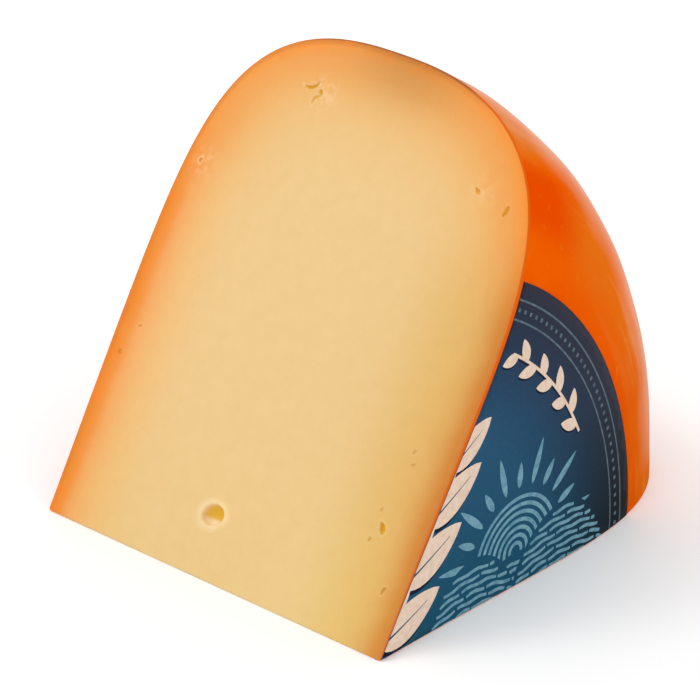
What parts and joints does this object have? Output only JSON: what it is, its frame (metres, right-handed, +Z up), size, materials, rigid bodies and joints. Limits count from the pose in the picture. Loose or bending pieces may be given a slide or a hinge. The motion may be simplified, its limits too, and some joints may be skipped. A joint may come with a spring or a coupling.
{
  "type": "cheese wedge",
  "caption": "Wedge of semi-hard cheese cut from a small round wheel, standing on one cut face, with small eyes, an orange rind and a round paper label cut through with it.",
  "frame": {"origin": "on the surface that the wedge stands on, under the middle of its box", "axes": "+Z up; +X along the axis of the wheel that the wedge was cut from, towards the labelled flat; -Y towards the cut that leans back, so the rind is at +Y"},
  "size_m": [0.1002, 0.125, 0.1088],
  "materials": {
    "cheese": "cream-yellow cut cheese, smooth and slightly waxy, deepening to orange towards a smooth glossy orange rind",
    "label": "satin printed paper in blue and navy, glued flat on the rind"
  },
  "bodies": {
    "root": {"cheese": "cheese", "label": "label"}
  },
  "joints": []
}
